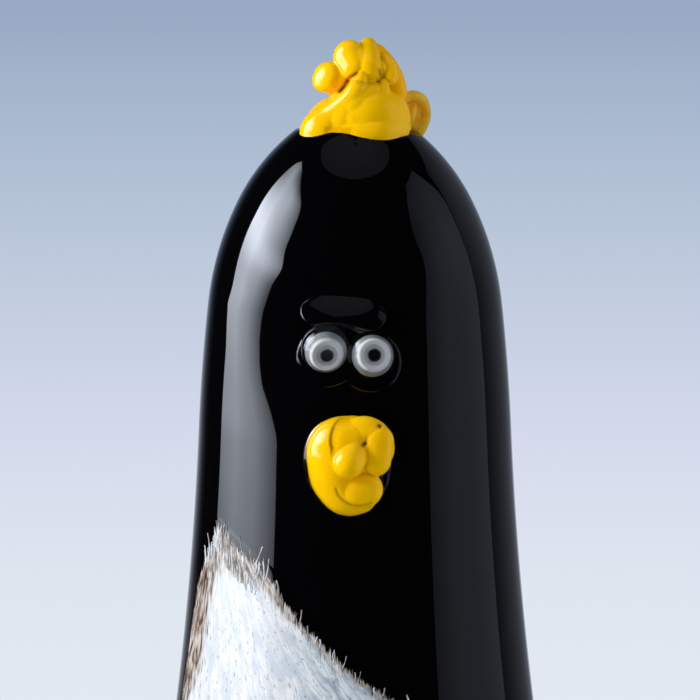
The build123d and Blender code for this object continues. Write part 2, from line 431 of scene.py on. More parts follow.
def frit_glass():
    """Crushed white glass melted into the black and combed upwards: in hairs, and brown where it is thin."""
    made, put = new_material("combed white glass frit")
    inside = put("ShaderNodeAttribute", attribute_name="inside").outputs["Fac"]
    edge = put("ShaderNodeAttribute", attribute_name="edge").outputs["Vector"]
    skin = put("ShaderNodeAttribute", attribute_name="skin").outputs["Vector"]
    lie = put("ShaderNodeAttribute", attribute_name="lie").outputs["Vector"]
    across = put("ShaderNodeSeparateXYZ", {0: skin})
    start, width, tuft = put("ShaderNodeSeparateXYZ", {0: edge}).outputs

    # The comb wavers by some 3 mm
    swirl = put("ShaderNodeTexNoise", {"Vector": skin, "Scale": 0.13, "Detail": 2.0}).outputs["Color"]
    combed = put("ShaderNodeVectorMath", {0: swirl, 1: (3.2, 3.2, 0.0), 2: lie}, operation="MULTIPLY_ADD")

    # Hairs and tufts make both edges ragged: the white one, and the brown one some millimetres further out
    hairs = streaks(put, skin, 0.35, 4.0, 1.0)
    tufts = streaks(put, skin, 1.3, 6.0, 2.0, 7.3)
    both = put("ShaderNodeMath", {0: hairs, 1: tufts}, operation="ADD")
    rough = put("ShaderNodeMath", {0: both, 1: 4.5, 2: -4.5}, operation="MULTIPLY_ADD")
    ragged = put("ShaderNodeMath", {0: rough, 1: tuft}, operation="MULTIPLY")
    reach = put("ShaderNodeMath", {0: inside, 1: ragged}, operation="ADD")
    past = put("ShaderNodeMath", {0: reach, 1: start}, operation="SUBTRACT")
    white = put("ShaderNodeMath", {0: past, 1: width}, operation="DIVIDE", use_clamp=True)
    thin = put("ShaderNodeMath", {0: rough, 1: 0.5, 2: inside}, operation="MULTIPLY_ADD")
    stain = put("ShaderNodeMath", {0: thin, 1: 1.6}, operation="MULTIPLY", use_clamp=True)

    # Thin frit: brown to tan over the black
    tone = put("ShaderNodeMapRange", {0: streaks(put, combed, 1.8, 4.5, 4.0, 11.0), 1: 0.3, 2: 0.7})
    browns = ((0.0, "#2e2723"), (0.3, "#75655a"), (0.6, "#a99d93"), (1.0, "#d9d5d3"))
    brown = put("ShaderNodeValToRGB", {0: tone}, browns)
    under = put("ShaderNodeMix", {0: stain, 6: srgb("#020203"), 7: brown}, data_type="RGBA")

    # Thick frit: warm white at the left, cooler to the right, in strands and flecks
    fine = streaks(put, combed, 0.7, 6.0, 3.0, 5.7)
    fine_share = put("ShaderNodeMapRange", {0: fine, 1: 0.3, 2: 0.55})
    cool = put("ShaderNodeMapRange", {0: across.outputs["X"], 1: -16.0, 2: -2.0})
    patches = put("ShaderNodeMapRange", {0: streaks(put, combed, 2.6, 6.0, 4.0, 2.2), 1: 0.38, 2: 0.58})
    cool_tones = {0: patches, 6: srgb("#a8b8c5"), 7: srgb("#e0e8ed")}
    cool_white = put("ShaderNodeMix", cool_tones, data_type="RGBA")
    warm_tones = {0: patches, 6: srgb("#c6cfd8"), 7: srgb("#e4e4e5")}
    warm_white = put("ShaderNodeMix", warm_tones, data_type="RGBA")
    pale = put("ShaderNodeMix", {0: cool, 6: warm_white, 7: cool_white}, data_type="RGBA")
    shade = put("ShaderNodeMix", {0: cool, 6: srgb("#c8d0d8"), 7: srgb("#8c9cab")}, data_type="RGBA")
    strands = put("ShaderNodeMix", {0: fine_share, 6: shade, 7: pale}, data_type="RGBA")
    flecks = {0: streaks(put, combed, 0.8, 1.6, 3.0, 21.0), 1: 0.38, 2: 0.28, 4: 0.7}
    fleck = put("ShaderNodeMapRange", flecks)
    surface = put("ShaderNodeMix", {0: fleck, 6: strands, 7: srgb("#6d7d8a")}, data_type="RGBA")
    colour = put("ShaderNodeMix", {0: white, 6: under, 7: surface}, data_type="RGBA")

    bump = put("ShaderNodeBump", {"Height": fine, "Distance": 0.02 * MM, "Strength": stain})
    gloss = put("ShaderNodeMapRange", {0: stain, 3: 0.025, 4: 0.08})
    glass = {"Base Color": colour, "Roughness": gloss, "IOR": GLASS_IOR, "Normal": bump}
    put("ShaderNodeOutputMaterial", {"Surface": put("ShaderNodeBsdfPrincipled", glass)})
    return made


def strand_glass():
    """Single threads of the white frit drawn out over the black, thin enough to go grey or tan."""
    made, put = new_material("drawn white glass threads")
    coords = put("ShaderNodeTexCoord").outputs["Object"]
    tone = put("ShaderNodeTexNoise", {"Vector": coords, "Scale": 1 / (2.5 * MM), "Detail": 1.0})
    share = put("ShaderNodeMapRange", {0: tone, 1: 0.38, 2: 0.6})
    tint = put("ShaderNodeMix", {0: share, 6: srgb("#968f8a"), 7: srgb("#d8dade")}, data_type="RGBA")
    glass = {"Base Color": tint, "Roughness": 0.1, "IOR": GLASS_IOR}
    put("ShaderNodeOutputMaterial", {"Surface": put("ShaderNodeBsdfPrincipled", glass)})
    return made


def yellow_glass():
    """Opaque yellow soft glass, fire-polished: orange near the petal, and painted shade, dark brown, where
    the folds pinch it.
    """
    made, put = new_material("folded opaque yellow glass")
    coords = put("ShaderNodeTexCoord").outputs["Object"]
    painted_fold_shade = put("ShaderNodeAttribute", attribute_name="painted_fold_shade").outputs["Fac"]
    orange = put("ShaderNodeAttribute", attribute_name="orange").outputs["Fac"]
    cloud = put("ShaderNodeTexNoise", {"Vector": coords, "Scale": 1 / (7 * MM), "Detail": 2.0})
    deep = put("ShaderNodeMix", {0: cloud, 6: srgb("#ffcd05"), 7: srgb("#fdbb04")}, data_type="RGBA")
    warm = put("ShaderNodeMix", {0: orange, 6: deep, 7: srgb("#fcb804")}, data_type="RGBA")
    # Painted shade: the yellow goes dark brown in the folds and along the creases
    fold_shade_share = put("ShaderNodeMath", {0: painted_fold_shade, 1: 1.5}, operation="POWER")
    fold_shaded = put("ShaderNodeMix", {0: fold_shade_share, 6: warm, 7: srgb("#6b4204")}, data_type="RGBA")
    glass = {
        "Base Color": fold_shaded,
        "Roughness": 0.06,
        "IOR": GLASS_IOR,
        "Specular IOR Level": 0.34,
        "Subsurface Weight": 0.15,
        "Subsurface Radius": (1.0, 0.55, 0.05),
        "Subsurface Scale": 1.2 * MM,
        "Normal": hand_worked(put, coords, 0.06),
    }
    put("ShaderNodeOutputMaterial", {"Surface": put("ShaderNodeBsdfPrincipled", glass)})
    return made


def amber_glass():
    """The thin end of the yellow trail: drawn so thin that light goes through it, so it looks amber."""
    made, put = new_material("thin drawn yellow glass")
    coords = put("ShaderNodeTexCoord").outputs["Object"]
    cloud = put("ShaderNodeTexNoise", {"Vector": coords, "Scale": 1 / (2.5 * MM), "Detail": 2.0})
    share = put("ShaderNodeMapRange", {0: cloud, 1: 0.4, 2: 0.6})
    tint = put("ShaderNodeMix", {0: share, 6: srgb("#ffdc40"), 7: srgb("#ffc22e")}, data_type="RGBA")
    glass = {
        "Base Color": tint,
        "Roughness": 0.08,
        "IOR": CLEAR_IOR,
        "Transmission Weight": 0.35,
        "Normal": hand_worked(put, coords, 0.2),
    }
    shader = lamps_through(put, put("ShaderNodeBsdfPrincipled", glass), (0.95, 0.75, 0.25, 1.0))
    put("ShaderNodeOutputMaterial", {"Surface": shader})
    return made


def clear_glass():
    """Clear soda-lime glass, fire-polished. Lamps reach through it to what is sealed inside."""
    made, put = new_material("fire-polished clear glass")
    coords = put("ShaderNodeTexCoord").outputs["Object"]
    glass = {
        "Base Color": srgb("#fbfdfe"),
        "Roughness": 0.01,
        "IOR": CLEAR_IOR,
        "Specular IOR Level": 0.8,
        "Transmission Weight": 1.0,
        "Normal": hand_worked(put, coords, 0.02),
    }
    shader = lamps_through(put, put("ShaderNodeBsdfPrincipled", glass), (0.98, 0.99, 1.0, 1.0))
    put("ShaderNodeOutputMaterial", {"Surface": shader})
    return made


def cane_glass():
    """A slice of eye cane: an opaque white ring round grey, with a black core, each fused to the next."""
    made, put = new_material("fused eye cane")
    out = put("ShaderNodeAttribute", attribute_name="out").outputs["Fac"]
    angle = put("ShaderNodeAttribute", attribute_name="round").outputs["Vector"]
    wobble = put("ShaderNodeTexNoise", {"Vector": angle, "Scale": 1.2, "Detail": 2.0}).outputs["Fac"]
    place = put("ShaderNodeMath", {0: wobble, 1: 0.35, 2: out}, operation="MULTIPLY_ADD")
    # The ramp takes 4 mm: the face from its core to its rim, and the side wall below, greying down it as
    # painted shade
    share = put("ShaderNodeMath", {0: place, 1: 0.25, 2: -0.044}, operation="MULTIPLY_ADD")
    stops = (
        (0.0, "#020204"), (0.235, "#040509"), (0.27, "#65676f"), (0.31, "#bdc0c8"), (0.44, "#d3d6dc"),
        (0.475, "#f6f8fa"), (0.52, "#ffffff"), (0.7, "#fcfdfe"), (0.75, "#d6dade"), (0.86, "#b9bdc3"),
        (1.0, "#9da2a8"),
    )
    glass = {
        "Base Color": put("ShaderNodeValToRGB", {0: share}, stops),
        "Roughness": 0.3,
        "IOR": CLEAR_IOR,
        "Subsurface Weight": 0.05,
        "Subsurface Radius": (1.0, 1.0, 1.0),
        "Subsurface Scale": 0.5 * MM,
    }
    put("ShaderNodeOutputMaterial", {"Surface": put("ShaderNodeBsdfPrincipled", glass)})
    return made


# body and belly


# Width of the narrow rings that keep the shading of its flat ends flat
CORNER = 0.01
TOP_CORNER = 0.05


def make_body(material):
    base, top = SIDE[0][0] - BASE_BEVEL, SIDE[-1][0]
    profile = [(0, 0), (base - CORNER, 0), (base, 0), *map(tuple, SIDE)]
    profile += [(top - TOP_CORNER, TOP_LEVEL), (0, TOP_LEVEL)]
    body = turned("black_glass_body", profile, Matrix.Identity(4), BODY_TURNS)
    return dress(body, material, ["black_body"])


def frit_edge(step):
    """The frit's edge as a closed line of the belly laid out flat, its points a step apart."""
    ring = [(radians(turn) * SKIN_RADIUS, level) for turn, level in FRIT_EDGE]
    return spline(ring + ring[:1], step)


def make_frit(material):
    """Belly patch: a thin skin over the body that stores how far in each point is and how its strands lie."""
    columns = int(2 * radians(FRIT_HALF_TURN) * SKIN_RADIUS / FRIT_GRID)
    turns = np.linspace(-FRIT_HALF_TURN, FRIT_HALF_TURN, columns)
    turn, level = np.meshgrid(turns, np.arange(*FRIT_LEVELS, FRIT_GRID))
    angle = np.radians(turn.ravel())
    flat = np.column_stack((angle * SKIN_RADIUS, level.ravel()))
    inside = inside_of(frit_edge(1.0), flat)

    dip = np.clip((-inside - FRIT_REACH + FRIT_RIM) / FRIT_RIM, 0, 1)
    radius = radius_at(flat[:, 1]) + FRIT_PROUD - FRIT_SINK * dip**2 * (3 - 2 * dip)
    verts = np.column_stack((radius * np.sin(angle), -radius * np.cos(angle), flat[:, 1]))
    number = np.arange(len(flat)).reshape(turn.shape)
    corners = (number[:-1, :-1], number[:-1, 1:], number[1:, 1:], number[1:, :-1])
    quads = np.stack(corners, -1).reshape(-1, 4)
    quads = quads[(inside > -FRIT_REACH)[quads].all(1)]
    used = np.unique(quads)
    place = np.full(len(flat), -1)
    place[used] = np.arange(len(used))
    mesh = bpy.data.meshes.new("belly_frit_skin")
    mesh.from_pydata((verts[used] * MM).tolist(), [], place[quads].tolist())
    frit = add_object("belly_frit_skin", mesh)

    spots = flat[used]
    across, level = spots.T
    zero = np.zeros(len(spots))
    right, up = (spots - FRIT_FOCUS).T
    store(frit, "inside", inside[used])
    store(frit, "skin", np.column_stack((across, level, zero)))
    store(frit, "lie", np.column_stack((np.arctan2(right, -up) * FAN_WIDTH, np.hypot(right, up), zero)))
    lowest, highest = LEFT_SIDE_LEVELS
    left = np.clip((level - lowest) / (highest - lowest), 0.1, 1)
    left = left / (1 + np.exp((across - LEFT_SIDE[0]) / LEFT_SIDE[1]))
    apex = 1 / (1 + np.exp((APEX[0] - level) / APEX[1]))
    look = [plain + more_left * left + more_apex * apex for plain, more_left, more_apex in EDGE_LOOK]
    store(frit, "edge", np.column_stack(look))
    solid = frit.modifiers.new("thickness", "SOLIDIFY")
    solid.thickness = FRIT_THICKNESS * MM
    solid.offset = -1
    return dress(settled(frit), material, ["belly_frit"])


def strand_tree(material):
    """Geometry Nodes: a bent, tapered thread on each root, along its combing and flat on the skin."""
    tree = bpy.data.node_groups.new("combed threads", "GeometryNodeTree")
    tree.is_modifier = True
    tree.interface.new_socket("Roots", in_out="INPUT", socket_type="NodeSocketGeometry")
    sizes = (("Length", 3.6 * MM), ("Width", 0.2 * MM), ("Bend", 0.26), ("Least", 0.5), ("Most", 1.4))
    for name, value in sizes:
        socket = tree.interface.new_socket(name, in_out="INPUT", socket_type="NodeSocketFloat")
        socket.default_value = value
    tree.interface.new_socket("Seed", in_out="INPUT", socket_type="NodeSocketInt").default_value = 7
    tree.interface.new_socket("Threads", in_out="OUTPUT", socket_type="NodeSocketGeometry")
    put = nodes_in(tree)
    size = put("NodeGroupInput").outputs
    # One thread, a unit long: a bow that rises a little and thins out to its tip
    middle = put("ShaderNodeCombineXYZ", {0: size["Bend"], 1: 0.5, 2: 0.04})
    bow = {"Resolution": 6, "Start": (0, 0, 0), "Middle": middle, "End": (0, 1, 0)}
    line = put("GeometryNodeCurveQuadraticBezier", bow)
    along = put("GeometryNodeSplineParameter")
    left = put("ShaderNodeMath", {0: 1.0, 1: along.outputs["Factor"]}, operation="SUBTRACT")
    taper = put("ShaderNodeMath", {0: left, 1: 0.7}, operation="POWER")
    width = put("ShaderNodeMath", {0: taper, 1: 0.02}, operation="MAXIMUM")
    sized = put("GeometryNodeSetCurveRadius", {"Curve": line, "Radius": width})
    ring = put("GeometryNodeCurvePrimitiveCircle", {"Resolution": 5, "Radius": 0.1})
    tube = put("GeometryNodeCurveToMesh", {"Curve": sized, "Profile Curve": ring, "Fill Caps": True})
    # Its own length, breadth and bend to either side on each root
    comb = put("GeometryNodeInputNamedAttribute", {"Name": "comb"}, data_type="FLOAT_VECTOR")
    out = put("GeometryNodeInputNamedAttribute", {"Name": "out"}, data_type="FLOAT_VECTOR")
    axes = {"Primary Axis": comb, "Secondary Axis": out}
    turn = put("FunctionNodeAxesToRotation", axes, primary_axis="Y", secondary_axis="Z")
    lengths = {"Min": size["Least"], "Max": size["Most"], "Seed": size["Seed"]}
    chance = put("FunctionNodeRandomValue", lengths, data_type="FLOAT")
    sides = {"Min": -9.0, "Max": 9.0, "Seed": size["Seed"]}
    side = put("FunctionNodeRandomValue", sides, data_type="FLOAT")
    own = put("GeometryNodeInputNamedAttribute", {"Name": "size"}, data_type="FLOAT")
    reach = put("ShaderNodeMath", {0: own, 1: size["Length"]}, operation="MULTIPLY")
    length = put("ShaderNodeMath", {0: chance, 1: reach}, operation="MULTIPLY")
    breadth = put("ShaderNodeMath", {0: side, 1: size["Width"]}, operation="MULTIPLY")
    height = put("ShaderNodeMath", {0: size["Width"], 1: 5.0}, operation="MULTIPLY")
    scale = put("ShaderNodeCombineXYZ", {0: breadth, 1: length, 2: height})
    laying = {"Points": size["Roots"], "Instance": tube, "Rotation": turn, "Scale": scale}
    laid = put("GeometryNodeInstanceOnPoints", laying)
    real = put("GeometryNodeRealizeInstances", {"Geometry": laid})
    smooth = put("GeometryNodeSetShadeSmooth", {"Geometry": real})
    done = put("GeometryNodeSetMaterial", {"Geometry": smooth, "Material": material})
    put("NodeGroupOutput", {"Threads": done})
    return tree


# Where threads lie: right of this place and above this level, and above the second one round the apex
THREADS_FROM = -42
THREADS_ABOVE = 72
APEX_ABOVE = 103
# Share of the steps along the side that have a thread, and threads at each step round the apex
SIDE_SHARE = 0.35
APEX_THREADS = 3
# Of a thread: how far in from the edge it starts, its mean lean sideways, and its size
SIDE_THREAD = ((0.5, 1.4), 0.1, (0.25, 0.7))
APEX_THREAD = ((0.3, 6.0), -0.05, (0.5, 1.0))


def make_strands(material):
    """Threads of frit along the patch's edge, thickest at its apex."""
    chance = np.random.default_rng(11)
    edge = frit_edge(0.5)
    spots, combs, sizes = [], [], []
    for a, b in zip(edge[:-1], edge[1:]):
        along = (b - a) / max(np.linalg.norm(b - a), 1e-9)
        inward = np.array((along[1], -along[0]))
        upper, apex = (a[0] > THREADS_FROM and a[1] > level for level in (THREADS_ABOVE, APEX_ABOVE))
        deep, lean, size = APEX_THREAD if apex else SIDE_THREAD
        for _ in range(APEX_THREADS if apex else int(upper and chance.random() < SIDE_SHARE)):
            spots.append(a + inward * chance.uniform(*deep) + along * chance.uniform(-0.4, 0.4))
            combs.append(chance.normal(lean, 0.2))
            sizes.append(chance.uniform(*size))
    across, level = np.array(spots).T
    angle = across / SKIN_RADIUS
    out = np.column_stack((np.sin(angle), -np.cos(angle), np.zeros(len(angle))))
    over = np.column_stack((np.cos(angle), np.sin(angle), np.zeros(len(angle))))
    rise = radius_at(level + 0.5) - radius_at(level - 0.5)
    roots = out * (radius_at(level) + FRIT_PROUD)[:, None] + np.outer(level, (0, 0, 1))
    mesh = bpy.data.meshes.new("belly_frit_threads")
    mesh.from_pydata((roots * MM).tolist(), [], [])
    threads = add_object("belly_frit_threads", mesh)
    store(threads, "comb", over * np.array(combs)[:, None] + out * rise[:, None] + (0, 0, 1))
    store(threads, "out", out)
    store(threads, "size", sizes)
    combing = threads.modifiers.new("combing", "NODES")
    combing.node_group = strand_tree(material)
    dress(settled(threads), material, [])


# crest

# How a trail is melted: cells in millimetres, and rounds of smoothing
CREST_MELT = (0.22, 4)
CURL_MELT = (0.2, 5)
BEAK_MELT = (0.17, 4)
BEAK_RIM_MELT = (0.14, 3)
PAD_MELT = (0.16, 5)

# Trails of the curl: its loop, the thin web in it and a drip
CURL_TRAILS = (
    (None, [
        (10.2, 1.6, 6.2, 1.2), (12.4, 2.0, 6.7, 1.2), (14.2, 2.4, 5.6, 1.15), (14.9, 2.6, 3.0, 1.05),
        (14.4, 2.6, 0.6, 1.0), (13.3, 2.2, -1.6, 0.9),
    ]),
    ((0, 1, 0, 0.35), [(11.6, 2.8, 4.2, 2.2), (12.0, 2.8, 1.0, 2.3), (12.3, 2.6, -1.0, 1.6)]),
    (None, [(11.2, 1.6, 1.0, 0.9), (12.0, 1.2, 2.4, 0.7), (12.4, 1.5, 4.2, 0.6)]),
)
LEFT_FRONT = (-0.64, -0.68, 0.36)
# Trails of the crest: how they are pressed; and x, y, z over the top of the head, and radius
CREST_TRAILS = {
    "front": (None, [(2.2, -2.9, 0.6, 9.6)]),
    "apron": (None, [(1.3, -6.4, 2.0, 6.4), (3.0, -5.9, 2.2, 7.0), (5.2, -4.8, 2.2, 6.4)]),
    "chin": (None, [
        (-4.9, -8.2, -2.6, 4.1), (-2.6, -8.8, -2.0, 4.0), (-0.2, -9.2, -1.2, 4.1), (2.2, -9.9, -1.2, 4.1),
        (4.8, -9.6, -0.9, 4.0), (7.6, -6.9, 0.1, 3.8),
    ]),
    "web": (None, [(-2.0, -7.2, 1.4, 4.8), (-0.8, -7.8, 4.2, 4.0), (1.4, -6.9, 6.2, 3.6)]),
    "sheet": (None, [(0.2, -8.3, 4.5, 4.0), (1.8, -8.0, 6.6, 3.2), (3.2, -7.6, 7.4, 2.7)]),
    "toe": (None, [(-3.6, -2.4, -0.2, 7.0)]),
    "back": (None, [(3.2, 0.2, 9.2, 7.0)]),
    "neck": (None, [(-3.2, -3.0, 10.0, 3.8), (-1.4, -1.6, 12.6, 3.2)]),
    "ridge": (None, [
        (-5.9, -5.9, -1.0, 5.7), (-4.1, -7.3, 2.3, 3.7), (-0.7, -9.1, 6.0, 2.7), (0.6, -9.1, 8.7, 2.0),
        (1.2, -8.7, 10.8, 1.1),
    ]),
    "side": ((*LEFT_FRONT, 0.55), [(-6.1, -4.4, 10.8, 3.35)]),
    "middle": ((*LEFT_FRONT, 0.85), [(-1.3, -3.8, 15.1, 3.5), (-0.2, -5.6, 12.8, 3.1)]),
    "saddle": (None, [(0.6, -4.2, 14.0, 3.3), (1.4, -5.3, 12.9, 3.0)]),
    "overhang": ((0, -1, 0, 0.8), [(1.7, -6.5, 12.2, 2.3), (3.0, -6.8, 12.1, 2.5), (4.2, -6.4, 12.3, 2.3)]),
    "knob": (None, [
        (2.9, -5.9, 12.8, 2.9), (2.5, -4.2, 14.2, 3.0), (2.5, -2.4, 15.9, 2.5), (2.8, -1.0, 17.3, 1.75),
    ]),
    "petal": (None, [
        (4.5, -1.6, 15.6, 2.1), (6.4, -2.8, 13.2, 2.3), (7.9, -4.0, 10.2, 2.4), (8.4, -4.3, 7.4, 2.5),
    ]),
    "petal roll": ((0, -1, 0, 0.8), [
        (6.1, -4.2, 14.4, 1.4), (6.9, -5.5, 12.8, 1.6), (7.3, -6.5, 11.2, 1.5), (7.2, -6.9, 10.4, 1.2),
    ]),
    "tent": (None, [(5.4, -7.5, 6.2, 2.4), (5.9, -7.4, 9.6, 0.9)]),
}
# Creases pressed into its front: x and level over the top of the head; then depth, width, the side that sinks
# (0 for both) and the darkness of the shade painted along them
CREST_CREASES = (
    (((0.4, 11.6), (-1.3, 10.5), (-3.1, 7.8)), 0.45, 0.5, 0, 0.8),
    (((0.1, 10.3), (2.1, 9.8), (4.7, 9.8), (5.4, 10.6), (5.1, 12.0)), 0.2, 0.4, 1, 0.45),
    (((5.0, 12.2), (5.2, 11.4)), 0.2, 0.5, 0, 0.7),
    (((5.4, 15.0), (5.6, 12.6), (6.2, 10.8), (7.2, 10.0)), 0.2, 0.35, 0, 0.35),
)
# Share of a fold's depth that is painted into the yellow as shade
CREST_FOLD_SHADE = 0.4
BEAK_FOLD_SHADE = 0.35
# Width of the orange glow along the petal, in millimetres
PETAL_GLOW = 1.0
# Of a crease line: spacing of its points, width of its sharp side, and gain of how far the skin faces it
PINCH_STEP = 0.3
SHARP_SIDE = 0.2
PINCH_FACING = 3


def pinch(made, matrix, creases):
    """Presses crease lines into a skin, seen square to matrix, and returns the shade painted along them."""
    turn = np.array(matrix.inverted())
    points = points_of(made)
    local = points @ turn[:3, :3].T + turn[:3, 3]
    facing = np.clip((normals_of(made) @ turn[:3, :3].T)[:, 2] * PINCH_FACING, 0, 1)
    sink = np.zeros(len(points))
    dark = np.zeros(len(points))
    for line, depth, width, side, tone in creases:
        run = spline(line, PINCH_STEP)
        away = distance_to(run, local[:, :2])
        share = np.exp(-((away / width) ** 2))
        if side:
            near = np.argmin(((local[:, None, :2] - run[None, :-1]) ** 2).sum(2), axis=1)
            along, spot = np.diff(run, axis=0)[near], local[:, :2] - run[near]
            over = side * (spot[:, 0] * along[:, 1] - spot[:, 1] * along[:, 0])
            share = np.exp(-((away / np.where(over > 0, width * 2, SHARP_SIDE)) ** 2))
        sink += share * depth * facing
        # Painted shade along each crease
        dark = np.maximum(dark, share * tone * facing)
    move_points(made, points - np.outer(sink, np.array(matrix)[:3, 2]))
    return dark


def make_crest(yellow, amber, clear):
    """The folded crest, its curl of thin glass, and the clear glass under it."""
    top = Matrix.Translation((0, 0, TOP_LEVEL))
    crest = melted("folded_crest", CREST_TRAILS.values(), top, *CREST_MELT)
    front = Matrix(((1, 0, 0, 0), (0, 0, -1, 0), (0, 1, 0, TOP_LEVEL), (0, 0, 0, 1)))
    dark = pinch(crest, front, CREST_CREASES)
    points = points_of(crest) - (0, 0, TOP_LEVEL)
    petal = spline(CREST_TRAILS["petal"][1], 0.5)
    reach = np.linalg.norm(points[:, None, :] - petal[None, :, :3], axis=2)
    near = np.min(reach - petal[None, :, 3], axis=1)
    store(crest, "orange", np.clip(1 - np.abs(near) / PETAL_GLOW, 0, 1))
    # Painted shade in the folds and along the creases
    store(crest, "painted_fold_shade", np.clip(hollow_of(crest) * CREST_FOLD_SHADE + dark, 0, 1))
    nodes = ["base_fold", "ridge", "side_bead", "middle_bead", "overhang", "knob", "petal"]
    dress(crest, yellow, ["crest_" + name for name in nodes])
    curl = melted("trail_curl", CURL_TRAILS, top, *CURL_MELT)
    dress(curl, amber, ["crest_curl"])
    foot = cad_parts["crest_clear_foot"]
    foot.data.materials.clear()
    foot.data.materials.append(clear)


# beak

# Where it sits: degrees to the right of the front, and level
BEAK_SEAT = (-2.0, 126.0)
# Trails of the beak: how they are pressed; and across, up and out from the skin of the body, and radius
BEAK_TRAILS = {
    "base": (None, [
        (0.6, 4.6, -0.5, 6.0), (-2.2, 3.9, -0.3, 6.2), (-2.4, 0.8, -0.3, 6.1), (-2.0, -2.2, -0.4, 5.6),
        (-0.4, -4.9, -0.5, 4.9), (1.6, -5.2, -0.5, 4.3),
    ]),
    "upper": ((0, 0, 1, 0.52), [(2.9, 4.3, 1.7, 6.3)]),
    "side": ((0, 0, 1, 0.8), [(5.4, 5.4, 2.3, 3.7), (5.3, 1.6, 2.5, 3.2)]),
    "lower": ((0, 0, 1, 0.68), [(0.4, -3.9, 2.6, 3.3), (1.6, -4.2, 2.7, 3.6), (3.2, -4.2, 2.5, 3.7)]),
    "bead": (None, [(0.06, 1.2, 5.6, 3.1), (1.2, 3.2, 3.3, 3.0)]),
}
# Clear glass that the beak was stuck on with, squeezed out round it
BEAK_RIM = (
    (-1.5, 9.6, -0.5, 0.8), (-5.0, 8.4, -0.8, 1.1), (-7.1, 6.3, -1.0, 1.2), (-8.0, 3.4, -1.1, 1.3),
    (-8.0, 0.2, -1.1, 1.3), (-7.2, -2.8, -0.9, 1.2), (-5.6, -6.0, -0.7, 0.9), (-3.4, -8.2, -0.4, 0.8),
    (-0.2, -9.2, -0.3, 0.7), (2.8, -7.8, -0.3, 0.8), (5.4, -5.8, -0.5, 0.9), (6.7, -3.4, -0.7, 1.1),
    (7.1, -1.4, -0.8, 1.2), (7.6, 1.5, -1.0, 1.0), (8.0, 4.5, -1.0, 0.8), (6.8, 7.7, -0.8, 0.7),
    (4.2, 9.4, -0.6, 0.7), (1.5, 9.9, -0.5, 0.7), (-1.5, 9.6, -0.5, 0.8),
)
# Pinched lines on its front: across and up; then as on the crest
BEAK_CREASES = (
    (((-0.6, 10.8), (-2.7, 9.1), (-3.6, 6.8), (-3.6, 4.7)), 0.5, 0.7, -1, 0.4),
    (((6.1, 8.6), (4.4, 7.2), (3.1, 5.0)), 0.15, 0.45, 0, 0.4),
    (((6.0, 8.7), (6.3, 8.5)), 0.3, 0.45, 0, 1.0),
    (((3.3, 5.2), (2.9, 4.9)), 0.4, 0.5, 0, 0.85),
    (((3.2, 5.0), (3.0, 4.8)), 0.1, 1.6, 0, 0.25),
    (((3.3, 4.4), (3.7, 1.9), (3.4, 0.0), (4.4, -1.3), (5.9, -2.3)), 0.1, 0.4, 0, 0.25),
    (((-2.5, -4.0), (-1.9, -5.4), (-0.5, -6.7), (1.4, -7.4), (3.3, -7.3), (4.6, -6.8)), 0.2, 0.32, 0, 0.5),
)


def make_beak(yellow, clear):
    """The folded beak, and the clear glass round its foot."""
    face = seat(*BEAK_SEAT)
    rim = melted("clear_beak_foot", [(None, BEAK_RIM)], face, *BEAK_RIM_MELT)
    dress(rim, clear, ["beak_clear_foot"])
    beak = melted("folded_beak", BEAK_TRAILS.values(), face, *BEAK_MELT)
    dark = pinch(beak, face, BEAK_CREASES)
    store(beak, "orange", np.zeros(len(dark)))
    # Painted shade in the folds and along the creases
    store(beak, "painted_fold_shade", np.clip(hollow_of(beak) * BEAK_FOLD_SHADE + dark, 0, 1))
    nodes = ["base_fold", "upper_fold", "side_fold", "lower_fold", "bead"]
    dress(beak, yellow, ["beak_" + name for name in nodes])


# eyes

EYE_SEAT = (-2.2, 149.1)
# Trails of the pad: how they are pressed; and across, up and out from the skin of the body, and radius
PAD_TRAILS = {
    "brow": ((0, 0.62, 0.79, 0.12), [
        (-6.2, 8.6, 0.3, 3.8), (-4.2, 9.2, 0.5, 4.2), (-1.6, 9.5, 0.7, 4.5), (1.2, 8.9, 0.6, 4.3),
        (3.6, 7.5, 0.3, 4.0),
    ]),
    "under brow": (None, [(-5.0, 6.4, -1.5, 2.9), (-1.6, 7.2, -1.4, 3.0), (2.4, 6.2, -1.5, 2.9)]),
    "left": ((-0.14, 0, 0.99, 0.2), [(-4.6, -0.8, -0.7, 6.3)]),
    "right": ((0.14, 0, 0.99, 0.2), [(4.4, -1.8, -0.7, 6.3)]),
}
# Eyes: place on the pad, and the lean of the slice of cane sideways and upwards
EYES = {"left": ((-4.8, 0.75), (9, -20)), "right": ((4.5, -0.6), (13, 4))}
# Slice of cane: radius, length, height of its foot over the body, and its rounded rim and blunt foot
CANE_RADIUS = 2.9
CANE_LENGTH = 2.9
CANE_SEAT_RISE = 2.4
CANE_ROUND = 0.5
CANE_FOOT = 0.2
# Its colours run out across the face, and on down the side wall from this depth, so many times as fast
# The grey down the side wall is painted shade
CANE_WALL_DEPTH = 0.6
CANE_WALL_RATE = 2
# Drop of clear glass on it: how far out and up its centre lies, and its radius
LENS_RISE = 3.0
LENS_SHIFT = 0.2
LENS_RADIUS = 4.9
LENS_STEPS = 48


def cane_profile():
    """Radius and height round a slice of cane, from the middle of its foot to the middle of its face."""
    r, h, rim = CANE_RADIUS, CANE_LENGTH, CANE_ROUND
    profile = [(0, 0), (0.5, 0), (r - CANE_FOOT, 0), (r, CANE_FOOT)]
    profile += [(r, h * k / 8) for k in range(1, 7)]
    profile += [(r - rim * (1 - cos(a)), h - rim * (1 - sin(a))) for a in np.linspace(0, pi / 2, 8)]
    return profile + [(r * k / 10, h) for k in range(8, 0, -1)] + [(0, h)]


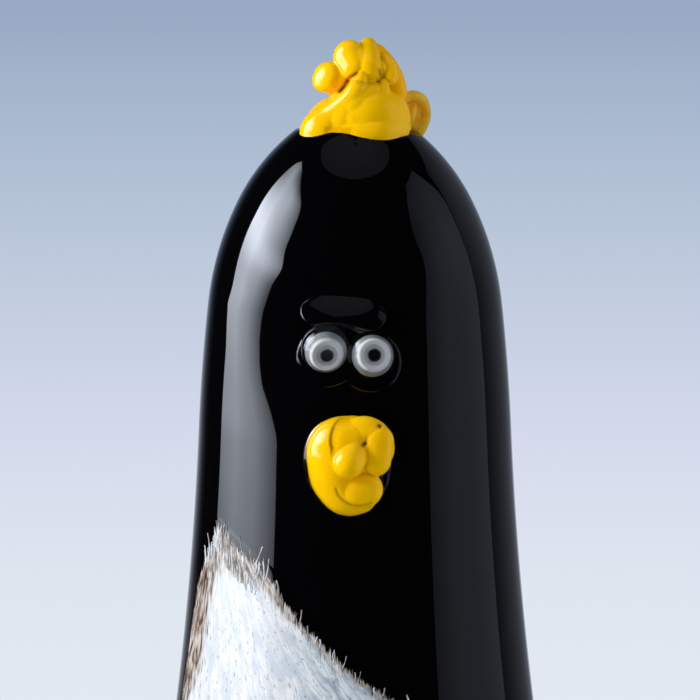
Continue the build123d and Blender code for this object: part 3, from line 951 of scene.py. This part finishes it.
def make_eyes(black, cane, clear):
    """The pad with its brow, and on it for each eye a slice of cane under a drop of clear glass."""
    face = seat(*EYE_SEAT)
    pad = melted("fused_brow_pad", PAD_TRAILS.values(), face, *PAD_MELT)
    dress(pad, black, ["brow_pad"])
    for side, ((x, y), (across, up)) in EYES.items():
        lean = Matrix.Rotation(radians(-up), 4, "X") @ Matrix.Rotation(radians(across), 4, "Y")
        place = face @ Matrix.Translation((x, y, CANE_SEAT_RISE)) @ lean
        piece = turned(f"{side}_eye_slice", cane_profile(), place)
        back = np.array(place.inverted())
        local = points_of(piece) @ back[:3, :3].T + back[:3, 3]
        depth = np.maximum(CANE_LENGTH - CANE_WALL_DEPTH - local[:, 2], 0)
        store(piece, "out", np.hypot(local[:, 0], local[:, 1]) + depth * CANE_WALL_RATE)
        store(piece, "round", local)
        dress(piece, cane, [f"{side}_eye_{part}" for part in ("white", "iris", "pupil")])
        centre = face @ Matrix.Translation((x, y + LENS_SHIFT, LENS_RISE))
        turns = np.linspace(0, pi, LENS_STEPS + 1)
        arc = [(LENS_RADIUS * sin(a), -LENS_RADIUS * cos(a)) for a in turns]
        lens = turned(f"{side}_eye_drop", arc, centre)
        dress(lens, clear, [f"{side}_eye_lens"])


# studio

STUDIO_CENTRE = Vector((0, 0, 150))
# Cards that the glass mirrors: distance, degrees from one row of their mesh to the next, and its columns
CARD_DISTANCE = 600
CARD_STEP = 2.0
CARD_COLUMNS = 36
# A row for each height: elevation, azimuth of both ends from the camera towards the viewer's left, and the
# light level at four places from the one end to the other
LEFT_SOFTBOX = (
    (-7, 57, 113, 0.8, 2.5, 3.0, 1.6), (-4, 57, 113, 1.6, 5.0, 5.8, 3.4),
    (-1.5, 63, 113, 1.8, 5.2, 6.0, 3.8), (0.5, 72, 113, 2.2, 5.2, 6.2, 4.2),
    (3.5, 76, 116, 1.6, 5.4, 7.0, 5.2), (8, 73, 113, 1.0, 5.6, 8.6, 6.0), (15, 69, 114, 1.5, 7.6, 9.6, 6.4),
    (21, 63, 114, 4.4, 11.6, 15.6, 10.4), (27, 64, 113, 3.0, 9.4, 16.6, 14.0),
    (35, 62, 113, 2.4, 9.4, 13.0, 8.6), (43, 63, 112, 2.0, 8.8, 9.0, 3.4),
    (50, 78, 110, 1.0, 3.2, 5.8, 3.8), (54, 92, 106, 0.5, 2.2, 3.2, 2.0),
)
RIGHT_CARD = (
    (-40, -54, -110, 0.26, 0.52, 0.46, 0.48), (0, -54, -110, 0.26, 0.52, 0.48, 0.48),
    (22, -60, -109, 0.28, 0.54, 0.6, 0.46), (34, -57, -109, 0.2, 0.42, 0.5, 0.34),
    (44, -62, -103, 0.28, 0.34, 0.4, 0.34), (52, -74, -98, 0.2, 0.26, 0.26, 0.22),
)
RIGHT_SIDE_CARD = (
    (-40, -110, -160, 0.08, 0.18, 0.24, 0.4), (0, -110, -160, 0.1, 0.2, 0.26, 0.4),
    (24, -110, -160, 0.2, 0.26, 0.26, 0.26), (42, -114, -150, 0.12, 0.16, 0.12, 0.1),
)
OVERHEAD_CARD = (
    (66, -110, 110, 0.14, 0.18, 0.18, 0.14), (70, -120, 120, 0.15, 0.19, 0.19, 0.15),
    (80, -140, 140, 0.18, 0.22, 0.22, 0.18), (89, -180, 180, 0.2, 0.2, 0.2, 0.2),
)
# Pale floor: level, the disc in its middle, its rim, and rings and steps round
FLOOR_LEVEL = -0.05
FLOOR_RADII = (10, 420)
FLOOR_RINGS = 30
FLOOR_TURNS = 96
# Lamps, the key and the fill
LAMP_DISTANCE = 700
# Camera, as the photograph is seen: degrees above the horizon, what it looks at, distance, width of the frame
CAMERA_ELEVATION = 5
CAMERA_TARGET = Vector((-1.05, 0, 147))
CAMERA_DISTANCE = 850
FRAME_WIDTH = 147
SENSOR_WIDTH = 36


def unseen_by(made, *rays):
    for ray in rays:
        setattr(made, "visible_" + ray, False)


def towards(azimuth, elevation, distance):
    """Place at so many degrees from the camera towards the viewer's left, and above the horizon."""
    az, el = radians(azimuth), radians(elevation)
    return STUDIO_CENTRE + distance * Vector((-sin(az) * cos(el), -cos(az) * cos(el), sin(el)))


def card(name, rows, tint):
    """A soft light that only glass mirrors: a curved sheet round the figurine with a level for each place."""
    rows = spline(rows, CARD_STEP)
    verts, faces, light = [], [], []
    for elevation, start, end, *levels in rows:
        for k in range(CARD_COLUMNS + 1):
            share = k / CARD_COLUMNS
            verts.append(towards(start + (end - start) * share, elevation, CARD_DISTANCE))
            light.append(max(0.0, np.interp(share, (0, 1 / 3, 2 / 3, 1), levels)))
    row = CARD_COLUMNS + 1
    for i in range(len(rows) - 1):
        for a in range(i * row, i * row + CARD_COLUMNS):
            faces.append((a, a + 1, a + row + 1, a + row))
    mesh = bpy.data.meshes.new(name)
    mesh.from_pydata([v * MM for v in verts], [], faces)
    made = add_object(name, mesh)
    store(made, "light", light)
    material, put = new_material(name)
    level = put("ShaderNodeAttribute", attribute_name="light").outputs["Fac"]
    glow = put("ShaderNodeEmission", {"Color": srgb(tint), "Strength": level})
    put("ShaderNodeOutputMaterial", {"Surface": glow})
    made.data.materials.append(material)
    unseen_by(made, "camera", "diffuse", "shadow", "transmission")


def make_world():
    """Backdrop, blue-grey above and pale below, seen and mirrored behind the figurine, and a soft room light
    elsewhere."""
    world = bpy.data.worlds.new("studio")
    bpy.context.scene.world = world
    world.use_nodes = True
    put = nodes_in(world.node_tree)
    way = put("ShaderNodeTexCoord").outputs["Generated"]
    parts = put("ShaderNodeSeparateXYZ", {0: way})
    height = put("ShaderNodeMapRange", {0: parts.outputs["Z"], 1: -0.1735, 2: 0.0})
    stops = (
        (0.0, "#e2e9f3"), (0.11, "#dfe7f1"), (0.21, "#dde4ef"), (0.36, "#d5dbec"), (0.5, "#c9d2e4"),
        (0.6, "#c0cbde"), (0.71, "#b4c3d6"), (0.857, "#a6b6cd"), (0.96, "#9aacc5"), (1.0, "#98a9c3"),
    )
    ramp = put("ShaderNodeValToRGB", {0: height}, stops)
    path = put("ShaderNodeLightPath")
    behind = put("ShaderNodeMapRange", {0: parts.outputs["Y"], 1: 0.68, 2: 1.0})
    mirrored = put("ShaderNodeMath", {0: behind, 1: 3.5}, operation="POWER")
    room = put("ShaderNodeBackground", {"Color": srgb("#f4f7ff"), "Strength": 0.46})
    dark = put("ShaderNodeBackground", {"Color": (0.004, 0.004, 0.005, 1.0)})
    backdrop = put("ShaderNodeBackground", {"Color": ramp})
    mirror = put("ShaderNodeMixShader", {0: mirrored, 1: dark, 2: backdrop})
    unseen = put("ShaderNodeMixShader", {0: path.outputs["Is Glossy Ray"], 1: room, 2: mirror})
    both = put("ShaderNodeMixShader", {0: path.outputs["Is Camera Ray"], 1: unseen, 2: backdrop})
    put("ShaderNodeOutputWorld", {"Surface": both})


def make_floor():
    """Pale floor under the figurine, fading into the backdrop towards its rim."""
    radii = np.linspace(*FLOOR_RADII, FLOOR_RINGS)
    angles = [2 * pi * k / FLOOR_TURNS for k in range(FLOOR_TURNS)]
    verts = [(radius * cos(a), radius * sin(a), FLOOR_LEVEL) for radius in radii for a in angles]
    faces = between_rings(FLOOR_RINGS, FLOOR_TURNS)
    faces += [(k, (k + 1) % FLOOR_TURNS, len(verts)) for k in range(FLOOR_TURNS)]
    floor = mesh_object("floor", verts + [(0, 0, FLOOR_LEVEL)], faces)
    material, put = new_material("pale matt paper")
    coords = put("ShaderNodeTexCoord").outputs["Object"]
    away = put("ShaderNodeVectorMath", {0: coords}, operation="LENGTH").outputs["Value"]
    fade = {0: away, 1: 0.12, 2: 0.4, 3: 1.0, 4: 0.0}
    share = put("ShaderNodeMapRange", fade, interpolation_type="SMOOTHSTEP")
    paper = put("ShaderNodeBsdfDiffuse", {"Color": srgb("#dfe3e8")})
    clear = put("ShaderNodeBsdfTransparent")
    both = put("ShaderNodeMixShader", {0: share, 1: clear, 2: paper})
    put("ShaderNodeOutputMaterial", {"Surface": both})
    floor.data.materials.append(material)
    unseen_by(floor, "glossy")


def make_lamp(name, azimuth, elevation, size, level):
    """Soft disc lamp. At level 1 it shows a colour as it is written, and the cards do its mirroring."""
    place = towards(azimuth, elevation, LAMP_DISTANCE)
    light = bpy.data.lights.new(name, "AREA")
    light.shape = "DISK"
    light.size = size * MM
    light.energy = level * pi**2 * (LAMP_DISTANCE * MM) ** 2
    lamp = add_object(name, light)
    lamp.location = place * MM
    lamp.rotation_euler = (place - STUDIO_CENTRE).to_track_quat("Z", "Y").to_euler()
    unseen_by(lamp, "camera", "glossy", "transmission")


def make_camera():
    elevation = radians(CAMERA_ELEVATION)
    camera = bpy.data.cameras.new("camera")
    camera.sensor_width = SENSOR_WIDTH
    camera.lens = SENSOR_WIDTH * CAMERA_DISTANCE / FRAME_WIDTH
    camera.clip_start = 0.01
    made = add_object("camera", camera)
    made.location = (CAMERA_TARGET + CAMERA_DISTANCE * Vector((0, -cos(elevation), sin(elevation)))) * MM
    made.rotation_euler = (pi / 2 - elevation, 0, 0)
    bpy.context.scene.camera = made


def main():
    bpy.context.scene.view_settings.view_transform = "Standard"
    black, frit, yellow = black_glass(), frit_glass(), yellow_glass()
    amber, clear, cane = amber_glass(), clear_glass(), cane_glass()
    make_body(black)
    make_frit(frit)
    make_strands(strand_glass())
    make_crest(yellow, amber, clear)
    make_beak(yellow, clear)
    make_eyes(black, cane, clear)
    make_world()
    make_floor()
    card("left softbox", LEFT_SOFTBOX, "#dfe6f5")
    card("right card", RIGHT_CARD, "#c4cde0")
    card("right side card", RIGHT_SIDE_CARD, "#c4cde0")
    card("overhead card", OVERHEAD_CARD, "#d4d8e4")
    make_lamp("key", 75, 20, 300, 1.1)
    make_lamp("fill", -88, 15, 400, 0.3)
    make_camera()


main()
